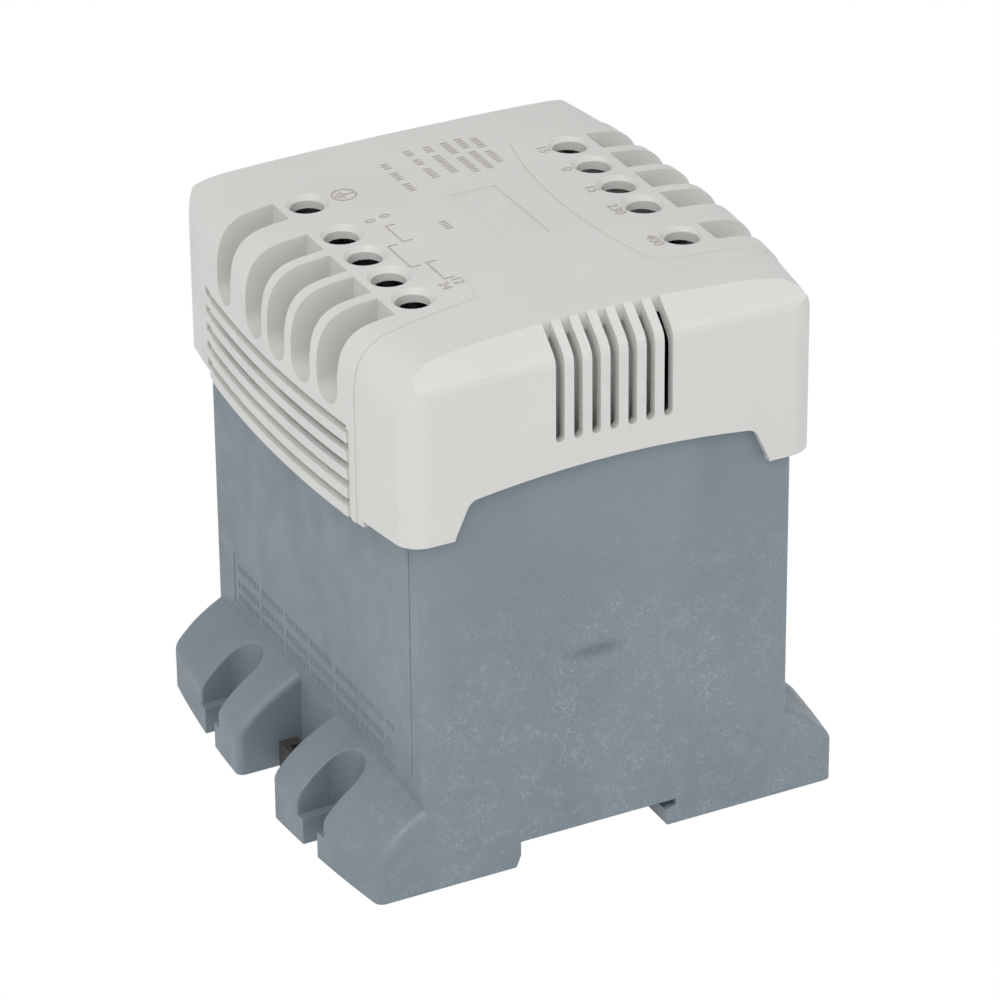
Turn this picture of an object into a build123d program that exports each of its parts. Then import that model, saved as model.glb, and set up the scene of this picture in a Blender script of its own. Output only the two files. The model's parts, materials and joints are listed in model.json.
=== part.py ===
"""Dry type control transformer for rail or screw mounting.

Millimetres. Origin at the centre of the underside of the feet.
+Z up, the rail runs along Y, the terminal banks are on the -X and +X sides.
"""
import math
import os
from build123d import *

# ---- driving dimensions ---------------------------------------------------
BODY_W = 84.0            # case width along X
BODY_D = 100.4           # case depth along Y
CASE_WALL = 2.0          # case wall
RIM_Z = 93.5             # top of the case rim
FLOOR_Z = 8.3            # inside floor of the case
FOOT_REACH = 57.0        # outer edge of the feet from the centre, at mid depth
BOW_R = 295.0            # plan radius of feet and cover sides
SLOT_Y = 24.75           # screw slots, offset from the centre along Y
SLOT_X = 48.7            # round end of the screw slots
SLOT_W = 5.8             # screw slot width
HEAD_W = 10.5            # width of the recess for the screw head
HEAD_Z = 6.0             # floor of the recess
GAP_W = 17.0             # gap between the middle feet
END_R = 2.0              # rounding at the ends of the feet and the case
GAP_R = 1.6              # rounding beside the middle gap
RECESS_R = 0.5           # rounding of the recess rims
RAIL_IN = -20.35         # plain wall of the rail slot
RAIL_W = 36.0            # ceiling width of the rail slot
RAIL_H = 5.8             # depth of the rail slot
HOOK = 2.4               # reach of the fixed hook
COVER_REACH = 50.3       # outer face of the cover at mid depth
COVER_D = 105.0          # cover depth along Y
COVER_Z0 = 79.6          # bottom edge of the cover
TOP_Z = 121.3            # highest point of the cover
COVER_WALL = 2.2         # cover wall
POST_UP = 1.3            # rise of the corner posts above the lowest rib
CORNER_R = 6.0           # plan radius of the cover's corners
CROWN_Y = 46.2           # crown line where the top meets the inclined band
VENT_N = 7
VENT_PITCH = 4.02
VENT_W = 1.95
VENT_Z = 97.1            # bottom of the vents
PITCH = 10.8             # terminal pitch
WIDE = 16.2              # gap of the set-apart terminal
TERM_X = 30.2            # screw axis from the centre
SLOT_BACK = 36.0         # back wall of the wire slots
WIRE_W = 8.0             # wire slot width
DRIVER_R = 3.55          # radius of the holes over the screws
WIRE_Z = 102.2           # bottom of the wire slots
RIB_N = 5
RIB_PITCH = 4.13
RIB_H = 2.3
STACK = 45.0             # core stack thickness along X
LEG = 32.0               # centre leg width; the other core sizes follow from it
CORE_Z = 10.0            # underside of the core
TRAVEL = 3.0             # rise of a cage clamp
GAP = 0.2                # general clearance between loose pieces

# ---- derived dimensions ---------------------------------------------------
HW = BODY_W / 2
HD = BODY_D / 2
CORE_W = 3 * LEG
CORE_TOP = CORE_Z + 2.5 * LEG
WIN_Z0 = CORE_Z + LEG / 2
WIN_Z1 = WIN_Z0 + 1.5 * LEG
SPAN = 3 * PITCH + WIDE
BANK_Y = [-SPAN / 2 + PITCH * k for k in range(4)] + [SPAN / 2]
SIDES = ((-1, 1), (1, -1))   # side along X, direction of counting along Y

os.makedirs("parts", exist_ok=True)


def save(part, name):
    part.label = name
    export_step(part, "parts/" + name + ".step")


def edges_where(part, test):
    """Edges of a part whose every point passes the test."""
    spots = (0, 0.25, 0.5, 0.75, 1)
    return [e for e in part.edges() if all(test(e @ spot) for spot in spots)]


def near(value, target, slack=0.02):
    return abs(value - target) < slack


def side_ring(profile, reach, side):
    """Profile of (d, z) points, d measured inward from the bowed outline."""
    centre = (side * (reach - BOW_R), 0, 0)
    turn = math.radians(-20 if side > 0 else 160)
    plane = Plane(centre, x_dir=(math.cos(turn), math.sin(turn), 0),
                  z_dir=(math.sin(turn), -math.cos(turn), 0))
    with BuildPart() as ring:
        with BuildSketch(plane):
            with BuildLine():
                for kind, points in profile:
                    placed = [(BOW_R - d, z) for d, z in points]
                    if kind == "curve":
                        Spline(*placed)
                    else:
                        Polyline(*placed)
            make_face()
        revolve(axis=Axis(centre, (0, 0, 1)), revolution_arc=40)
    return ring.part


def cover_block(inset, drop, z0):
    """Closed body of the cover outline, moved inward by inset and drop."""
    top = TOP_Z - drop
    half = COVER_D / 2 - inset
    reach = COVER_REACH - inset
    roof = [(0, top - 13), (0.3, top - 9.2), (1.1, top - 6.4), (2.6, top - 4.1),
            (5.2, top - 2.35), (9, top - 1.5), (15, top - 0.95), (25, top - 0.45),
            (38, top - 0.12), (50.3, top)]
    profile = [("curve", roof),
               ("line", [(50.3, top), (130, top), (130, z0), (0, z0), (0, top - 13)])]
    with BuildPart() as block:
        with BuildSketch(Plane.YZ.offset(-70)):
            with BuildLine():
                Polyline((-half, z0), (-half, top - 7.2), (-half + 0.25, top - 5.9),
                         (-half + 1.1, top - 4.6), (-CROWN_Y + inset * 0.6, top + 0.05),
                         (-CROWN_Y + inset * 0.6, top + 3), (CROWN_Y - inset * 0.6, top + 3),
                         (CROWN_Y - inset * 0.6, top + 0.05), (half - 1.1, top - 4.6),
                         (half - 0.25, top - 5.9), (half, top - 7.2), (half, z0), close=True)
            make_face()
        extrude(amount=140)
        corner = CORNER_R - inset
        flank = reach - (half - corner) ** 2 / (2 * BOW_R)
        with BuildSketch(Plane.XY.offset(z0 - 1)):
            RectangleRounded(2 * flank, 2 * half, corner)
            Rectangle(2 * (reach + 1), 2 * (half - corner))
        extrude(amount=top + 5 - z0, mode=Mode.INTERSECT)
        add(side_ring(profile, reach, -1), mode=Mode.INTERSECT)
        add(side_ring(profile, reach, 1), mode=Mode.INTERSECT)
    return block.part


# ---- case -----------------------------------------------------------------
def feet(side):
    """Bowed flare along one side, cut to the depth of the case."""
    flare = [(0, 9.3), (0.6, 10.8), (1.6, 12.0), (4, 14.4), (6.4, 16.3), (10.6, 18.9),
             (15.6, 21.4)]
    profile = [("curve", flare),
               ("line", [(15.6, 21.4), (19, 21.4), (19, 0), (0, 0), (0, 9.3)])]
    with BuildPart() as strip:
        add(side_ring(profile, FOOT_REACH, side))
        with Locations((side * 48, 0, 15)):
            Box(22, BODY_D, 40, mode=Mode.INTERSECT)
    return strip.part


def on_recess(p):
    """True on the walls of the recesses for the screw heads."""
    dx = abs(p.X) - SLOT_X
    dy = abs(abs(p.Y) - SLOT_Y)
    flat = dx > -0.01 and near(dy, HEAD_W / 2)
    round_end = dx < 0.01 and near(math.hypot(dx, dy), HEAD_W / 2)
    return p.Z > HEAD_Z - 0.01 and abs(p.X) > HW + 0.5 and (flat or round_end)


def is_wall_seam(edge):
    """True for the upright seams where a recess wall turns round."""
    low, high = edge @ 0, edge @ 1
    return abs(low.Z - high.Z) > 3 and near(low.X, high.X) and abs(low.X) < FOOT_REACH - 2


with BuildPart() as case:
    with BuildSketch():
        Rectangle(BODY_W, BODY_D)
    extrude(amount=RIM_Z)
    add(feet(-1))
    add(feet(1))
    with BuildSketch(Plane.XY.offset(FLOOR_Z)):
        Rectangle(BODY_W - 2 * CASE_WALL, BODY_D - 2 * CASE_WALL)
    extrude(amount=RIM_Z, mode=Mode.SUBTRACT)
    # gaps between the middle feet
    for s in (-1, 1):
        with Locations((s * (HW + 10), 0, 15)):
            Box(20, GAP_W, 40, mode=Mode.SUBTRACT)
    # open screw slots with round-ended recesses for the heads
    for s in (-1, 1):
        for y in (-SLOT_Y, SLOT_Y):
            for width, low, high in ((SLOT_W, -1, 30), (HEAD_W, HEAD_Z, 30)):
                with BuildSketch(Plane.XY.offset(low)):
                    with Locations((s * SLOT_X, y)):
                        Circle(width / 2)
                    with Locations((s * (SLOT_X + 10), y)):
                        Rectangle(20, width)
                extrude(amount=high - low, mode=Mode.SUBTRACT)
    # rail slot with its undercut hook on the +X side
    with BuildSketch(Plane.XZ.offset(-HD - 1)):
        right = RAIL_IN + RAIL_W
        with BuildLine():
            Polyline((RAIL_IN - 1.1, -1), (RAIL_IN - 1.05, 0), (RAIL_IN, 2.65), (RAIL_IN, RAIL_H),
                     (right, RAIL_H), (right, 4.4), (right - HOOK, 3.65),
                     (right - HOOK, 2.4), (right - HOOK + 0.35, 0), (right - HOOK + 0.35, -1), close=True)
        make_face()
    extrude(amount=BODY_D + 2, mode=Mode.SUBTRACT)
    # channel of the rail latch: a keyed slot from the -X gap to the rail slot
    for width, low, high in ((12.4, -1, 4.5), (15.0, 1.8, 3.4)):
        with Locations(((RAIL_IN - 25), 0, (low + high) / 2)):
            Box(50.2, width, high - low, mode=Mode.SUBTRACT)
    # seats for the core
    for y in (-0.44 * CORE_W, 0.44 * CORE_W):
        with Locations((0, y, (FLOOR_Z + CORE_Z) / 2)):
            Box(STACK, 4, CORE_Z - FLOOR_Z)
        for s in (-1, 1):
            with Locations((s * (STACK / 2 + 1.2), y, FLOOR_Z + 3)):
                Box(2, 4, 6)
    # windows for the cover's snap tongues
    for s in (-1, 1):
        with Locations((s * (HW - 1), 0, 85.5)):
            Box(4, 9, 3.4, mode=Mode.SUBTRACT)
    # rounded ends, gap sides and recess rims
    ends = edges_where(case.part, lambda p: near(abs(p.Y), HD) and abs(p.X) > HW - 0.02)
    fillet([e for e in ends if 0.5 < (e @ 0.5).Z < RIM_Z - 0.1], END_R)
    sides = edges_where(case.part, lambda p: near(abs(p.Y), GAP_W / 2) and abs(p.X) > HW - 0.02)
    fillet([e for e in sides if (e @ 0.5).Z > 0.5 and abs((e @ 0.5).X) > HW + 0.5], GAP_R)
    rims = edges_where(case.part, on_recess)
    fillet([e for e in rims if (e @ 0.5).Z > HEAD_Z + 0.5 and not is_wall_seam(e)], RECESS_R)
save(case.part, "case")

# ---- cover ----------------------------------------------------------------
def bank_panel():
    """Plan outline of the raised terminal panel on the -X side."""
    with BuildSketch(Plane.XY.offset(COVER_Z0 - 2)) as outline:
        with BuildLine():
            arc = ThreePointArc((-19.5, -30.5), (-15.4, 0.3), (-19.5, 31.2))
            Polyline(arc @ 1, (-23, 32.9), (-60, 34.3), (-60, -34.3), (-45, -34.3),
                     (-23, -30.9), arc @ 0)
        make_face()
    return outline.sketch


def half_turn(shape, side):
    return shape if side < 0 else shape.rotate(Axis.Z, 180)


def ribbed_zone(side):
    """Grooves and slits that leave the horizontal ribs on one side."""
    with BuildPart() as cuts:
        for k in range(RIB_N):
            low = COVER_Z0 + RIB_H + k * RIB_PITCH
            high = low + RIB_PITCH - RIB_H
            with Locations((0, side * -3.2, (low + high) / 2)):
                Box(200, 69, high - low)
    grooves = cuts.part - cover_block(1.7, 0, COVER_Z0 - 5)
    with BuildPart() as slits:
        for k in (2, 3):
            low = COVER_Z0 + RIB_H + k * RIB_PITCH
            for y, length in ((-19, 22), (14.5, 27)):
                with Locations((side * 48, -side * y * -1, low + 0.85)):
                    Box(9, length, RIB_PITCH - RIB_H - 0.1)
        for k in range(RIB_N):
            with Locations((side * 50.5, side * 31.9, COVER_Z0 + 1.15 + k * RIB_PITCH)):
                Box(4.6, 1.5, RIB_PITCH)
    with BuildPart() as zone:
        add(grooves)
        add(slits.part)
        with Locations((side * 48, 0, 90)):
            Box(16, 120, 60, mode=Mode.INTERSECT)
    return zone.part


def wire_slot(side, y):
    """Round-bottomed slot, open at the top and to the side."""
    radius = WIRE_W / 2
    length = 60 - SLOT_BACK
    with BuildPart() as slot:
        with Locations((side * (SLOT_BACK + length / 2), y, WIRE_Z + radius)):
            Cylinder(radius, length, rotation=(0, 90, 0))
        with Locations((side * (SLOT_BACK + length / 2), y, WIRE_Z + radius + 15)):
            Box(length, WIRE_W, 30)
        # window to the clamp
        with Locations((side * (SLOT_BACK - 1), y, 104.4)):
            Box(6, 5.8, 4.2)
    return slot.part


def driver_hole(side, y):
    with BuildPart() as hole:
        with Locations((side * TERM_X, y, TOP_Z - 3)):
            Cylinder(DRIVER_R, 12)
        # bevelled rim
        with Locations((side * TERM_X, y, TOP_Z - 0.65)):
            Cone(DRIVER_R, DRIVER_R + 2, 2)
    return hole.part


def vents(side):
    with BuildPart() as row:
        for k in range(VENT_N):
            x = (k - (VENT_N - 1) / 2) * VENT_PITCH
            with Locations((x, side * (CROWN_Y + 5), VENT_Z + 1 + 15)):
                Box(VENT_W, 10, 30)
            with Locations((x, side * (CROWN_Y + 5), VENT_Z + 1)):
                Cylinder(VENT_W / 2, 10, rotation=(90, 0, 0))
    return row.part


def skirt_arch():
    """Arched openings in the lower edge of the -Y and +Y faces."""
    with BuildPart() as arch:
        with BuildSketch(Plane.XZ.offset(-70)) as outline:
            with BuildLine():
                top = ThreePointArc((-31.9, 88.9), (0, 91.2), (31.9, 88.9))
                Polyline(top @ 1, (35.3, 81.4), (36.2, 70), (-36.2, 70), (-35.3, 81.4), top @ 0)
            make_face()
            fillet([v for v in outline.vertices() if near(v.Y, 88.9) or near(v.Z, 88.9)], 3)
        extrude(amount=140)
    return arch.part


with BuildPart() as panels:
    for s, t in SIDES:
        add(half_turn(bank_panel(), s))
    extrude(amount=60)
    add(cover_block(0, 0, COVER_Z0), mode=Mode.INTERSECT)

with BuildPart() as hood:
    add(cover_block(0.25, 0.25, COVER_Z0))
    add(panels.part)

with BuildPart() as inner:
    # rest ledges on the case rim
    for s in (-1, 1):
        with Locations((0, s * (HD - 0.8), RIM_Z + 1)):
            Box(BODY_W, 2.6, 2)
        # hold-down ribs on the core
        with Locations((0, s * 0.44 * CORE_W, (CORE_TOP + TOP_Z - 2) / 2)):
            Box(26, 1.8, TOP_Z - 2 - CORE_TOP)
    for s, t in SIDES:
        # terminal bank: block for the wire slots, tubes over the screws
        with Locations((s * (SLOT_BACK + 8), 0, 110)):
            Box(18.6, 62, 20)
        # short ribs between the clamps
        for y in BANK_Y:
            with Locations((s * (SLOT_BACK - 2.9), t * y + t * 3.9, 116.4)):
                Box(3.4, 1, 5.2)
        # snap tongue with its nose in the case window
        with Locations((s * (HW + 0.85), 0, 92.2)):
            Box(1.5, 8, 16)
        with Locations((s * (HW - 0.6), 0, 85.5)):
            Box(1.5, 8, 2.6)
        # ribs that centre the cover on the case
        for y in (-45, 45):
            with Locations((s * (HW + 1.6), y, 87)):
                Box(3, 2, 12)
    add(hood.part, mode=Mode.INTERSECT)

with BuildPart() as cover:
    add(hood.part)
    add(cover_block(COVER_WALL + 0.05, 2.6, COVER_Z0 - 3), mode=Mode.SUBTRACT)
    add(inner.part)
    for s, t in SIDES:
        add(ribbed_zone(s), mode=Mode.SUBTRACT)
        for y in BANK_Y:
            add(wire_slot(s, t * y), mode=Mode.SUBTRACT)
            add(driver_hole(s, t * y), mode=Mode.SUBTRACT)
        add(vents(s), mode=Mode.SUBTRACT)
    add(skirt_arch(), mode=Mode.SUBTRACT)
    # corner posts end a little above the lowest rib
    for s in (-1, 1):
        with Locations((0, s * (COVER_D / 2 - 6), COVER_Z0)):
            Box(140, 20, 2 * POST_UP, mode=Mode.SUBTRACT)
    # shallow recess for the label
    with Locations((2.2, 1.3, TOP_Z)):
        Box(10.3, 24.6, 1.3, mode=Mode.SUBTRACT)
save(cover.part, "cover")

# ---- rail latch -----------------------------------------------------------
with BuildPart() as rail_latch:
    tip = RAIL_IN + HOOK
    outer = -48.5
    with BuildSketch(Plane.XZ.offset(-6)):
        with BuildLine():
            Polyline((outer, 0.8), (outer, 7.7), (outer + 4.2, 7.7), (outer + 4.2, 4.2),
                     (tip, 4.2), (tip, 2.8), (tip - 2.2, 0.8), close=True)
        make_face()
    extrude(amount=12)
    # keys that run in the grooves of the channel
    with Locations(((RAIL_IN - 13), 0, 2.6)):
        Box(17, 14.6, 1.2)
    # slot that frees the spring tongue, and the driver slot in the grip
    for y in (-2.6, 2.6):
        with Locations((RAIL_IN - 11, y, 2.5)):
            Box(12, 1.2, 6, mode=Mode.SUBTRACT)
    with Locations((outer + 2.1, 0, 7)):
        Box(1.6, 6.5, 4, mode=Mode.SUBTRACT)
save(rail_latch.part, "rail_latch")


# ---- core -----------------------------------------------------------------
with BuildPart() as e_stack:
    with BuildSketch(Plane.YZ.offset(-STACK / 2)):
        with Locations((0, (CORE_Z + WIN_Z1) / 2)):
            Rectangle(CORE_W, WIN_Z1 - CORE_Z)
        for y in (-0.75 * LEG, 0.75 * LEG):
            with Locations((y, (WIN_Z0 + WIN_Z1) / 2)):
                Rectangle(LEG / 2, WIN_Z1 - WIN_Z0, mode=Mode.SUBTRACT)
    extrude(amount=STACK)
save(e_stack.part, "core_e_stack")

with BuildPart() as i_stack:
    with Locations((0, 0, (WIN_Z1 + CORE_TOP) / 2)):
        Box(STACK, CORE_W, CORE_TOP - WIN_Z1)
save(i_stack.part, "core_i_stack")

# ---- bobbin and windings --------------------------------------------------
TUBE_X = STACK / 2 + 1.7
TUBE_Y = LEG / 2 + 1.7
FLANGE = 2.0
COIL_Z0 = WIN_Z0 + GAP + FLANGE
COIL_Z1 = WIN_Z1 - GAP - FLANGE
LAYERS = (("primary_winding", 6.0), ("winding_insulation", 0.5), ("secondary_winding", 5.5),
          ("winding_wrap", 0.4))
COIL_T = sum(t for n, t in LAYERS)


def lead_end(side):
    """Distance from the centre at which the leads of one side meet their winding."""
    return 27.5 if side > 0 else 33.3


with BuildPart() as bobbin:
    with BuildSketch(Plane.XY.offset(COIL_Z0 - FLANGE)):
        Rectangle(2 * TUBE_X, 2 * TUBE_Y)
    extrude(amount=COIL_Z1 - COIL_Z0 + 2 * FLANGE)
    for z in (COIL_Z0 - FLANGE, COIL_Z1):
        with BuildSketch(Plane.XY.offset(z)):
            RectangleRounded(2 * (TUBE_X + COIL_T + 1.4), 2 * (LEG - GAP), 2)
        extrude(amount=FLANGE)
    with BuildSketch(Plane.XY.offset(WIN_Z0 - 1)):
        Rectangle(STACK + 2 * GAP, LEG + 2 * GAP)
    extrude(amount=WIN_Z1 - WIN_Z0 + 2, mode=Mode.SUBTRACT)
    for s, t in SIDES:
        for y in BANK_Y:
            with Locations((s * lead_end(s), 0.8 * t * y, COIL_Z1 + 1)):
                Cylinder(0.8, 4, mode=Mode.SUBTRACT)
save(bobbin.part, "bobbin")

depth = 0.0
for name, thick in LAYERS:
    with BuildPart() as layer:
        for grow, op in ((depth + thick, Mode.ADD), (depth, Mode.SUBTRACT)):
            with BuildSketch(Plane.XY.offset(COIL_Z0)):
                corner = max(grow * 0.6, 0.01)
                if grow:
                    RectangleRounded(2 * (TUBE_X + grow), 2 * (TUBE_Y + grow), corner)
                else:
                    Rectangle(2 * TUBE_X, 2 * TUBE_Y)
            extrude(amount=COIL_Z1 - COIL_Z0, mode=op)
    depth += thick
    save(layer.part, name)

# ---- terminals ------------------------------------------------------------
BAR_Z = 106.0            # underside of the contact bars
BAR_T = 1.2
CAGE_X = 3.2             # half sizes of a cage
CAGE_Y = 3.8
CAGE_Z0 = 100.4
CAGE_Z1 = 109.0
CARRIER_TOP = 113.4
CARRIER_IN = 24.4
CARRIER_OUT = SLOT_BACK - 1.4


def carrier(side):
    """Insulating block that holds the bars, cages and screws of one bank."""
    turn = -side
    mid = side * (CARRIER_IN + CARRIER_OUT) / 2
    wide = CARRIER_OUT - CARRIER_IN
    with BuildPart() as block:
        with Locations((mid, 0, (99.4 + CARRIER_TOP) / 2)):
            Box(wide, 62, CARRIER_TOP - 99.4)
        for y in (-29.8, 29.8):
            with Locations((mid, y, (COIL_Z1 + FLANGE + 99.4) / 2)):
                Box(wide, 2.4, 99.4 - COIL_Z1 - FLANGE)
        for y in BANK_Y:
            at = turn * y
            with Locations((side * TERM_X, at, (90 + CARRIER_TOP - 1) / 2)):
                Box(2 * CAGE_X + 0.5, 2 * CAGE_Y + 0.5, CARRIER_TOP - 1 - 90, mode=Mode.SUBTRACT)
            with Locations((side * TERM_X, at, CARRIER_TOP)):
                Cylinder(2.1, 6, mode=Mode.SUBTRACT)
            with Locations((side * CARRIER_IN, at, BAR_Z + BAR_T / 2)):
                Box(6, 5, BAR_T, mode=Mode.SUBTRACT)
            with Locations((side * CARRIER_OUT, at, 104)):
                Box(3, 5.8, 5, mode=Mode.SUBTRACT)
    return block.part


def screw(side, y):
    """Terminal screw with a cross slot; its tip bears on the contact bar."""
    with BuildPart() as body:
        with Locations((side * TERM_X, y, (BAR_Z + BAR_T + CARRIER_TOP) / 2)):
            Cylinder(2.0, CARRIER_TOP - BAR_Z - BAR_T)
        with Locations((side * TERM_X, y, CARRIER_TOP + 1)):
            Cylinder(3.2, 2)
        with Locations((side * TERM_X, y, CARRIER_TOP + 1.6)):
            Box(4.8, 0.9, 1.4, mode=Mode.SUBTRACT)
            Box(0.9, 4.8, 1.4, mode=Mode.SUBTRACT)
    return body.part


def cage(side, y):
    """Rising clamp: a closed ring around the bar, threaded at the top."""
    with BuildPart() as ring:
        with Locations((side * TERM_X, y, (CAGE_Z0 + CAGE_Z1) / 2)):
            Box(2 * CAGE_X, 2 * CAGE_Y, CAGE_Z1 - CAGE_Z0)
        with Locations((side * TERM_X, y, (CAGE_Z0 + 1.2 + BAR_Z + 1.4) / 2)):
            Box(20, 5.3, BAR_Z + 1.4 - CAGE_Z0 - 1.2, mode=Mode.SUBTRACT)
        with Locations((side * TERM_X, y, CAGE_Z1)):
            Cylinder(2.05, 6, mode=Mode.SUBTRACT)
    return ring.part


def contact_bar(side, y):
    with BuildPart() as bar:
        with Locations((side * (20.5 + 33.6) / 2, y, BAR_Z + BAR_T / 2)):
            Box(13.1, 5, BAR_T)
    return bar.part


def lead(points):
    with BuildPart() as wire:
        with BuildLine() as path:
            Polyline(*points)
        with BuildSketch(Plane(points[0], z_dir=(0, 0, -1))):
            Circle(0.7)
        sweep(path=path.line, transition=Transition.RIGHT)
    return wire.part


def winding_lead(side, y):
    """Wire from the inner end of a bar down to its winding."""
    end = side * lead_end(side)
    return lead([(side * 23.2, y, BAR_Z), (side * 23.2, y, 98), (end, 0.8 * y, 84),
                 (end, 0.8 * y, COIL_Z1)])


for s, t in SIDES:
    bank = "left" if s < 0 else "right"
    save(carrier(s), "carrier_" + bank)
    wires = []
    for k, y in enumerate(BANK_Y):
        tag = bank + "_" + str(k + 1)
        save(screw(s, t * y), "screw_" + tag)
        save(cage(s, t * y), "cage_" + tag)
        save(contact_bar(s, t * y), "bar_" + tag)
        if s < 0 and k == 4:
            earth = lead([(s * 23.2, y, BAR_Z), (s * 23.2, y, 98), (s * 17, y, 95),
                          (s * 17, y, CORE_TOP)])
            save(earth, "earth_lead")
        else:
            wires.append(winding_lead(s, t * y))
    with BuildPart() as harness:
        for wire in wires:
            add(wire)
    save(harness.part, "secondary_leads" if s < 0 else "primary_leads")
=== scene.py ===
"""Dry type control transformer: looks, print, floor, light and camera."""
import json
import math
import bpy
from mathutils import Matrix, Vector


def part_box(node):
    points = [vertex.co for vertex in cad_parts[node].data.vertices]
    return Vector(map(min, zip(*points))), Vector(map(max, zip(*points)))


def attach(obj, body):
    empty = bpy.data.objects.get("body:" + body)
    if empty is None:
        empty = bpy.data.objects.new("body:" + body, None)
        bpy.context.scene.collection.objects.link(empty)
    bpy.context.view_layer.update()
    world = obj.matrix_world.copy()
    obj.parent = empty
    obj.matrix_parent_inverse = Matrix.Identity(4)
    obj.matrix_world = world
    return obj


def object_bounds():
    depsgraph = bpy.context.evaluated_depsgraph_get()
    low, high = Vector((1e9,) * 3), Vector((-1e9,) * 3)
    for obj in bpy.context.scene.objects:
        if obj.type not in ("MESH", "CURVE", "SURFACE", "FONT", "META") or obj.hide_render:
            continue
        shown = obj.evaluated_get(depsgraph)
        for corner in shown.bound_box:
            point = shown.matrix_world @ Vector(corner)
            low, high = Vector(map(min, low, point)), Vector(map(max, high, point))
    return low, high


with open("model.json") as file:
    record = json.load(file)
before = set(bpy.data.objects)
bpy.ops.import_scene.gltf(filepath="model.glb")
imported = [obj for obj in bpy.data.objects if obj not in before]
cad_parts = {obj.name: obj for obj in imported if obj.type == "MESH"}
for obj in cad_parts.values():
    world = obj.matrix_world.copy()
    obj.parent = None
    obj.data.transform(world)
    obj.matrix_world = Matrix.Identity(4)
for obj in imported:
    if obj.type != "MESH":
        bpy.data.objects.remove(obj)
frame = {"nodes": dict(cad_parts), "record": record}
CAD_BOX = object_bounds()
MM = 0.001
NODES = frame["nodes"]

COVER_LOW, COVER_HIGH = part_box("cover")
CASE_LOW, CASE_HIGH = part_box("case")
TOP = COVER_HIGH.z


def deselect():
    if bpy.context.object and bpy.context.object.mode != "OBJECT":
        bpy.ops.object.mode_set(mode="OBJECT")
    bpy.ops.object.select_all(action="DESELECT")


# ---- materials ------------------------------------------------------------
def new_material(name, colour, roughness, metallic=0.0):
    material = bpy.data.materials.new(name)
    material.use_nodes = True
    shader = material.node_tree.nodes["Principled BSDF"]
    shader.inputs["Base Color"].default_value = (*colour, 1)
    shader.inputs["Roughness"].default_value = roughness
    shader.inputs["Metallic"].default_value = metallic
    return material, material.node_tree, shader


def noise(tree, scale, detail=4.0, stretch=(1, 1, 1), distortion=0.0):
    """Noise on Object coordinates, scale in features per metre."""
    place = tree.nodes.new("ShaderNodeTexCoord")
    mapping = tree.nodes.new("ShaderNodeMapping")
    mapping.inputs["Scale"].default_value = stretch
    texture = tree.nodes.new("ShaderNodeTexNoise")
    texture.inputs["Scale"].default_value = scale
    texture.inputs["Detail"].default_value = detail
    texture.inputs["Distortion"].default_value = distortion
    tree.links.new(place.outputs["Object"], mapping.inputs["Vector"])
    tree.links.new(mapping.outputs["Vector"], texture.inputs["Vector"])
    return texture.outputs["Fac"]


def ramp(tree, value, low, high, dark, light):
    node = tree.nodes.new("ShaderNodeValToRGB")
    node.color_ramp.elements[0].position = low
    node.color_ramp.elements[0].color = (*dark, 1)
    node.color_ramp.elements[1].position = high
    node.color_ramp.elements[1].color = (*light, 1)
    tree.links.new(value, node.inputs["Fac"])
    return node.outputs["Color"]


def mix(tree, factor, first, second):
    node = tree.nodes.new("ShaderNodeMix")
    node.data_type = "RGBA"
    tree.links.new(factor, node.inputs["Factor"])
    for socket, value in ((node.inputs["A"], first), (node.inputs["B"], second)):
        if isinstance(value, tuple):
            socket.default_value = (*value, 1)
        else:
            tree.links.new(value, socket)
    return node.outputs["Result"]


def bump(tree, shader, height, strength, distance):
    node = tree.nodes.new("ShaderNodeBump")
    node.inputs["Strength"].default_value = strength
    node.inputs["Distance"].default_value = distance
    tree.links.new(height, node.inputs["Height"])
    tree.links.new(node.outputs["Normal"], shader.inputs["Normal"])


def moulded(name, colour, roughness, spread=0.05, grain=2600, strength=0.12):
    """Moulded plastic: faint clouding, fine grain and uneven gloss."""
    material, tree, shader = new_material(name, colour, roughness)
    dark = tuple(c * (1 - spread) for c in colour)
    light = tuple(min(1, c * (1 + spread)) for c in colour)
    tree.links.new(ramp(tree, noise(tree, 60, 3), 0.3, 0.7, dark, light), shader.inputs["Base Color"])
    low = (roughness - 0.06,) * 3
    high = (roughness + 0.06,) * 3
    tree.links.new(ramp(tree, noise(tree, 140, 3), 0.35, 0.65, low, high), shader.inputs["Roughness"])
    bump(tree, shader, noise(tree, grain, 2), strength, 0.0001)
    return material


def falloff(tree, centre, reach):
    """1 at a place on the part, falling to 0 at its reach on each axis."""
    place = tree.nodes.new("ShaderNodeTexCoord")
    mapping = tree.nodes.new("ShaderNodeMapping")
    scale = [1 / (r * MM) for r in reach]
    mapping.inputs["Scale"].default_value = scale
    mapping.inputs["Location"].default_value = [-c * MM * k for c, k in zip(centre, scale)]
    ball = tree.nodes.new("ShaderNodeTexGradient")
    ball.gradient_type = "SPHERICAL"
    tree.links.new(place.outputs["Object"], mapping.inputs["Vector"])
    tree.links.new(mapping.outputs["Vector"], ball.inputs["Vector"])
    return ball.outputs["Fac"]


def product(tree, first, second):
    node = tree.nodes.new("ShaderNodeMath")
    node.operation = "MULTIPLY"
    tree.links.new(first, node.inputs[0])
    tree.links.new(second, node.inputs[1])
    return node.outputs["Value"]


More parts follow.
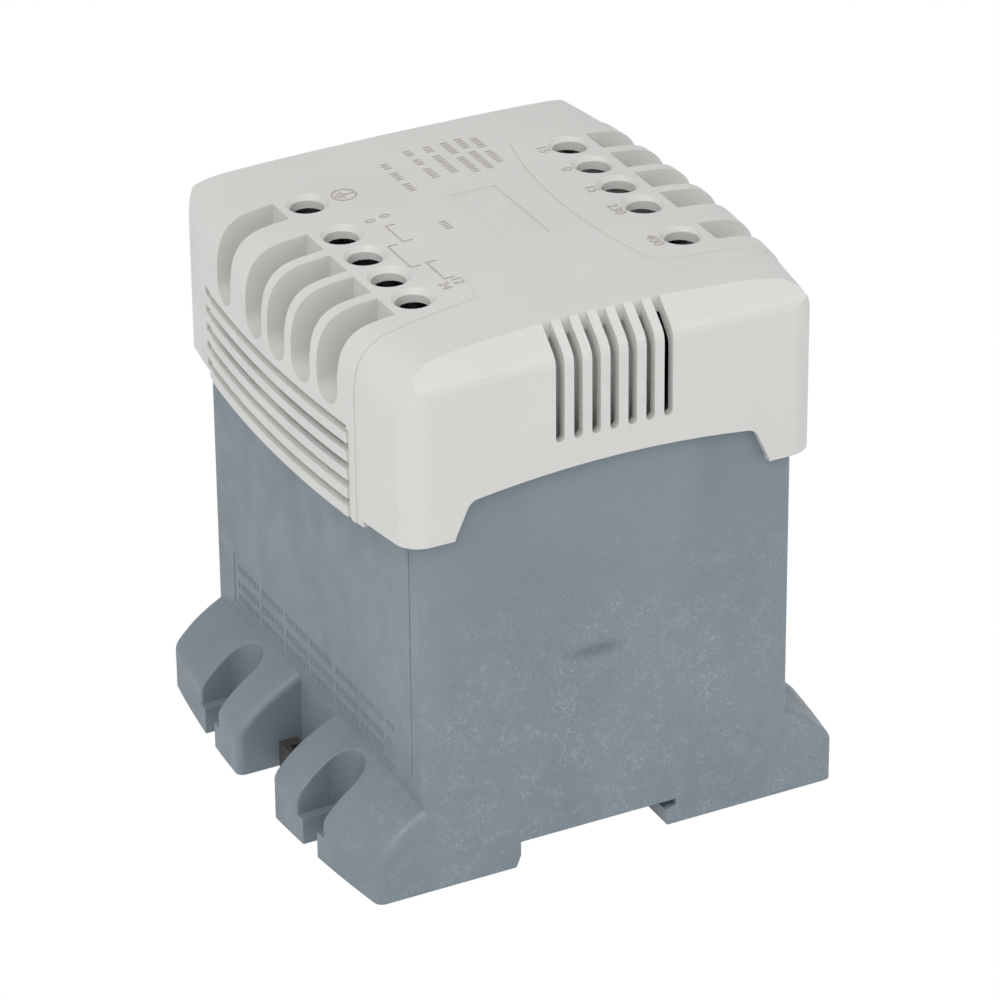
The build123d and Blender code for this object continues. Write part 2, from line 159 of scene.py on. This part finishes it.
def fibre_plastic():
    """Glass-filled moulding: pale fibre swirls, densest low on the end faces."""
    ground = (0.180, 0.222, 0.254)
    black, white = (0, 0, 0), (1, 1, 1)
    material, tree, shader = new_material("fibre_filled_plastic", ground, 0.5)
    drift = noise(tree, 38, 4, (1, 1, 0.45), 0.8)
    cloud = ramp(tree, drift, 0.3, 0.75, (0.164, 0.204, 0.236), (0.195, 0.239, 0.273))
    fine = ramp(tree, noise(tree, 1100, 6, distortion=2.0), 0.47, 0.68, black, white)
    patch = ramp(tree, noise(tree, 130, 4, distortion=1.6), 0.40, 0.66, (0.15,) * 3, white)
    low = ramp(tree, falloff(tree, (18, -50, 20), (120, 60, 62)), 0.05, 0.55, (0.12,) * 3, white)
    dense = product(tree, product(tree, fine, patch), low)
    fleck = mix(tree, dense, cloud, (0.285, 0.338, 0.372))
    smear = product(tree, falloff(tree, (-3, -50.2, 46.5), (9, 3, 2.2)), noise(tree, 420, 3, (1, 1, 3)))
    soft = ramp(tree, smear, 0.05, 0.45, black, (0.55,) * 3)
    tree.links.new(mix(tree, soft, fleck, (0.085, 0.090, 0.096)), shader.inputs["Base Color"])
    gloss = ramp(tree, noise(tree, 160, 3), 0.35, 0.65, (0.44,) * 3, (0.58,) * 3)
    tree.links.new(gloss, shader.inputs["Roughness"])
    bump(tree, shader, noise(tree, 1500, 4), 0.10, 0.0001)
    return material


def plated(name, colour, roughness):
    """Plated steel: brushed, with a faint cloudy film."""
    material, tree, shader = new_material(name, colour, roughness, 1.0)
    low = (roughness - 0.1,) * 3
    high = (roughness + 0.12,) * 3
    film = ramp(tree, noise(tree, 900, 3, (1, 1, 0.2)), 0.3, 0.7, low, high)
    tree.links.new(film, shader.inputs["Roughness"])
    bump(tree, shader, noise(tree, 2500, 2, (1, 1, 0.15)), 0.08, 0.00005)
    return material


def layered(name, colour, roughness, metallic, pitch, axis):
    """Stacked sheets or wound turns: fine lines at the given pitch."""
    material, tree, shader = new_material(name, colour, roughness, metallic)
    place = tree.nodes.new("ShaderNodeTexCoord")
    lines = tree.nodes.new("ShaderNodeTexWave")
    lines.wave_type = "BANDS"
    lines.bands_direction = axis
    lines.inputs["Scale"].default_value = 0.314 / pitch
    lines.inputs["Distortion"].default_value = 0.3
    tree.links.new(place.outputs["Object"], lines.inputs["Vector"])
    dark = tuple(c * 0.55 for c in colour)
    tree.links.new(ramp(tree, lines.outputs["Fac"], 0.05, 0.5, dark, colour), shader.inputs["Base Color"])
    bump(tree, shader, lines.outputs["Fac"], 0.4, 0.0002)
    return material


COVER_GREY = moulded("cover_plastic_grey", (0.60, 0.60, 0.582), 0.42, 0.018, 2200, 0.06)
CASE_BLUE = fibre_plastic()
LATCH_BLACK = moulded("latch_plastic_dark", (0.045, 0.041, 0.041), 0.5, 0.1)
CARRIER_BLACK = moulded("carrier_plastic_black", (0.035, 0.035, 0.036), 0.55, 0.1)
ZINC = plated("zinc_plated_steel", (0.62, 0.62, 0.60), 0.34)
TIN = plated("tinned_bar", (0.66, 0.64, 0.58), 0.36)
CORE = layered("core_sheets", (0.20, 0.20, 0.21), 0.5, 0.7, 0.0005, "X")
COPPER = layered("enamelled_copper", (0.55, 0.20, 0.08), 0.3, 0.8, 0.0009, "Z")
FILM = moulded("winding_film", (0.72, 0.58, 0.20), 0.35, 0.06)
LEAD_RED = moulded("lead_sleeve", (0.32, 0.05, 0.04), 0.4, 0.08)
LEAD_GREEN = moulded("earth_sleeve", (0.33, 0.48, 0.07), 0.4, 0.08)
PRINT_TAN = moulded("print_tan", (0.47, 0.41, 0.35), 0.6, 0.05)

FINISH = {
    "case_plastic": CASE_BLUE, "cover_plastic": COVER_GREY, "latch_plastic": LATCH_BLACK,
    "zinc_steel": ZINC, "tinned_brass": TIN, "carrier_plastic": CARRIER_BLACK, "core_steel": CORE,
    "copper_wire": COPPER, "insulation_film": FILM, "lead_wire": LEAD_RED, "earth_wire": LEAD_GREEN,
}
for part in frame["record"]["subparts"]:
    body = NODES[part["node"]]
    body.data.materials.clear()
    body.data.materials.append(FINISH[part["material_slot"]])

# ---- print on the cover ---------------------------------------------------
PRINT_LIFT = 0.00008     # print stands this far off the plastic
LINE = 0.32              # width of printed lines, in mm
TERM_X = 30.2            # rows of terminals, in mm
HIGH = TOP + 0.004       # where flat print starts, above the cover


def edit(action):
    """Runs one action on all of the active mesh in edit mode."""
    bpy.ops.object.mode_set(mode="EDIT")
    bpy.ops.mesh.select_all(action="SELECT")
    action()
    bpy.ops.object.mode_set(mode="OBJECT")


def bar(x, y, length_x, length_y):
    """A flat printed bar, in mm, cut fine enough to follow the crown."""
    deselect()
    bpy.ops.mesh.primitive_plane_add(size=1, location=(x * MM, y * MM, HIGH))
    mark = bpy.context.object
    mark.scale = (length_x * MM, length_y * MM, 1)
    bpy.ops.object.transform_apply(location=True, rotation=True, scale=True)
    if max(length_x, length_y) > 3:
        edit(lambda: bpy.ops.mesh.subdivide(number_cuts=7))
    return mark


def number(words, x, y, size):
    """A plain number that reads towards -Y."""
    deselect()
    bpy.ops.object.text_add()
    mark = bpy.context.object
    mark.data.body = words
    mark.data.size = size * MM
    mark.data.align_x = "CENTER"
    mark.data.align_y = "CENTER"
    bpy.ops.object.convert(target="MESH")
    mark = bpy.context.object
    mark.location = (x * MM, y * MM, HIGH)
    mark.rotation_euler = (0, 0, -math.pi / 2)
    bpy.ops.object.transform_apply(location=True, rotation=True, scale=True)
    return mark


def ring(x, y, radius):
    deselect()
    bpy.ops.mesh.primitive_circle_add(vertices=48, radius=radius * MM, fill_type="NGON",
                                      location=(x * MM, y * MM, HIGH))
    mark = bpy.context.object
    bpy.ops.object.transform_apply(location=True, rotation=True, scale=True)
    bpy.ops.object.mode_set(mode="EDIT")
    bpy.ops.mesh.select_all(action="SELECT")
    bpy.ops.mesh.inset(thickness=LINE * MM, depth=0)
    bpy.ops.mesh.delete(type="FACE")
    bpy.ops.object.mode_set(mode="OBJECT")
    return mark


def bracket(near_x, far_x, start_y, end_y):
    """Three lines that tie two terminals together."""
    middle = (start_y + end_y) / 2
    tick = (near_x + far_x) / 2
    return [bar(far_x, middle, LINE, start_y - end_y + LINE),
            bar(tick, start_y, near_x - far_x, LINE), bar(tick, end_y, near_x - far_x, LINE)]


def finish_print(marks, name, material):
    """Joins the marks, lays them on the cover and sets how they move."""
    deselect()
    for mark in marks:
        mark.select_set(True)
    bpy.context.view_layer.objects.active = marks[0]
    bpy.ops.object.join()
    piece = bpy.context.object
    piece.name = name
    lay = piece.modifiers.new("lay", "SHRINKWRAP")
    lay.target = NODES["cover"]
    lay.wrap_method = "PROJECT"
    lay.use_project_z = True
    lay.use_negative_direction = True
    lay.use_positive_direction = False
    lay.offset = PRINT_LIFT
    bpy.ops.object.modifier_apply(modifier=lay.name)
    edit(lambda: bpy.ops.mesh.normals_make_consistent(inside=False))
    if sum(face.normal.z for face in piece.data.polygons) < 0:
        edit(bpy.ops.mesh.flip_normals)
    bpy.ops.object.shade_flat()
    piece.data.materials.clear()
    piece.data.materials.append(material)
    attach(piece, "housing")
    return piece


EARTH_X, EARTH_Y, EARTH_R = -22.0, 24.0, 2.7
printed = [ring(EARTH_X, EARTH_Y, EARTH_R), bar(EARTH_X + 1.0, EARTH_Y, 2.6, LINE)]
for step, length in enumerate((3.2, 2.1, 1.0)):
    printed.append(bar(EARTH_X - 0.3 - 0.75 * step, EARTH_Y, LINE, length))
for words, y in (("15", 24.3), ("0", 13.5), ("15", 2.7), ("230", -8.1), ("400", -24.3)):
    printed.append(number(words, TERM_X - 6.3, y, 3.4))
for words, x, y in (("0", -22.7, 10.4), ("0", -19.2, 11.0), ("24", -22.4, -22.9), ("12", -19.3, -22.2)):
    printed.append(number(words, x, y, 3.2))
for near_x, far_x, start_y, end_y in ((-18.9, -21.0, 6.6, -1.3), (-22.5, -24.6, -1.8, -12.3),
                                      (-18.9, -21.1, -12.1, -20.2)):
    printed += bracket(near_x, far_x, start_y, end_y)
# rows of short ticks where the rating would stand
ROWS = ((13.6, 35.7, (5, 6)), (10.4, 36.8, (5, 9)), (7.0, 36.5, (6, 8)), (2.8, 36.2, (3, 9)),
        (-1.7, 36.4, (3, 3, 5)), (-8.6, 33.0, (3, 4, 4)), (-9.9, 3.2, (4,)))
for x, y, words in ROWS:
    for ticks in words:
        for _ in range(ticks):
            printed.append(bar(x, y, 1.7, 0.42))
            y -= 1.05
        y -= 1.6
finish_print(printed, "cover_print", PRINT_TAN)

# ---- raised marks on the case ---------------------------------------------
WALL_X = -42.0           # outer face of the case wall, in mm
RAISED = 0.12            # height of the raised marks, in mm


def raised_bar(y, z, length_y, length_z):
    deselect()
    bpy.ops.mesh.primitive_cube_add(size=1, location=(WALL_X * MM, y * MM, z * MM))
    mark = bpy.context.object
    mark.scale = (2 * RAISED * MM, length_y * MM, length_z * MM)
    bpy.ops.object.transform_apply(location=True, rotation=True, scale=True)
    return mark


upright = raised_bar(40.8, 28.2, 0.35, 11.8)
foot_line = raised_bar(1.8, 22.3, 78, 0.35)
parting_line = raised_bar(-44.6, 52, 0.3, 54)
raised = [upright, foot_line, parting_line]
TICK, TICK_STEP, WORD_STEP, WORD_TICKS = 0.45, 1.2, 2.4, 9
for z, end in ((31.4, -36.4), (27.5, -35.0), (24.2, -31.0)):
    y, step = 38.6, 0
    while y > end:
        raised.append(raised_bar(y, z, TICK, 1.6))
        step += 1
        y -= WORD_STEP if step % WORD_TICKS == 0 else TICK_STEP
deselect()
for mark in raised:
    mark.select_set(True)
bpy.context.view_layer.objects.active = raised[0]
bpy.ops.object.join()
marks = bpy.context.object
marks.name = "case_raised_marks"
marks.data.materials.clear()
marks.data.materials.append(CASE_BLUE)
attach(marks, "housing")

# ---- floor, light, camera -------------------------------------------------
deselect()
bpy.ops.mesh.primitive_plane_add(size=8, location=(0, 0, CAD_BOX[0].z - 0.00002))
floor = bpy.context.object
floor.name = "floor"
paper, tree, shader = new_material("floor_paper", (0.9, 0.9, 0.9), 0.9)
glow = tree.nodes.new("ShaderNodeEmission")
glow.inputs["Color"].default_value = (1, 1, 1, 1)
rays = tree.nodes.new("ShaderNodeLightPath")
blend = tree.nodes.new("ShaderNodeMixShader")
seen = rays.outputs["Is Camera Ray"]
for kind in ("Is Glossy Ray", "Is Transmission Ray"):
    either = tree.nodes.new("ShaderNodeMath")
    either.operation = "ADD"
    either.use_clamp = True
    tree.links.new(seen, either.inputs[0])
    tree.links.new(rays.outputs[kind], either.inputs[1])
    seen = either.outputs["Value"]
tree.links.new(seen, blend.inputs["Fac"])
tree.links.new(shader.outputs["BSDF"], blend.inputs[1])
tree.links.new(glow.outputs["Emission"], blend.inputs[2])
tree.links.new(blend.outputs["Shader"], tree.nodes["Material Output"].inputs["Surface"])
floor.data.materials.append(paper)


def area_light(name, power, size, place, target=(0, 0, 0.06)):
    deselect()
    bpy.ops.object.light_add(type="AREA", location=place)
    lamp = bpy.context.object
    lamp.name = name
    lamp.data.energy = power
    lamp.data.size = size
    lamp.rotation_euler = (Vector(target) - Vector(place)).to_track_quat("-Z", "Y").to_euler()
    return lamp


area_light("key_light", 9.0, 0.9, (-0.7, -0.55, 1.05))
area_light("fill_light", 4.0, 1.2, (0.9, -1.0, 0.7))
world = bpy.data.worlds.new("studio")
bpy.context.scene.world = world
world.use_nodes = True
backdrop = world.node_tree.nodes["Background"]
backdrop.inputs["Color"].default_value = (1, 1, 1, 1)
backdrop.inputs["Strength"].default_value = 0.62

AZIMUTH = math.radians(-26.85)
ELEVATION = math.radians(28.75)
ROLL = math.radians(-0.53)
DISTANCE = 1.229
AIM = Vector((0.0364, 0.0700, 0.0125))
LENS = 197.0
back = Vector((math.sin(AZIMUTH) * math.cos(ELEVATION), -math.cos(AZIMUTH) * math.cos(ELEVATION),
               math.sin(ELEVATION)))
right = Vector((math.cos(AZIMUTH), math.sin(AZIMUTH), 0))
up = back.cross(right)
turn = Matrix((right, up, back)).transposed().to_4x4() @ Matrix.Rotation(ROLL, 4, "Z")
deselect()
bpy.ops.object.camera_add()
camera = bpy.context.object
camera.name = "camera"
camera.matrix_world = Matrix.Translation(AIM + back * DISTANCE) @ turn
camera.data.lens = LENS
camera.data.sensor_width = 36
camera.data.clip_start = 0.01
bpy.context.scene.camera = camera
bpy.context.scene.view_settings.view_transform = "Standard"
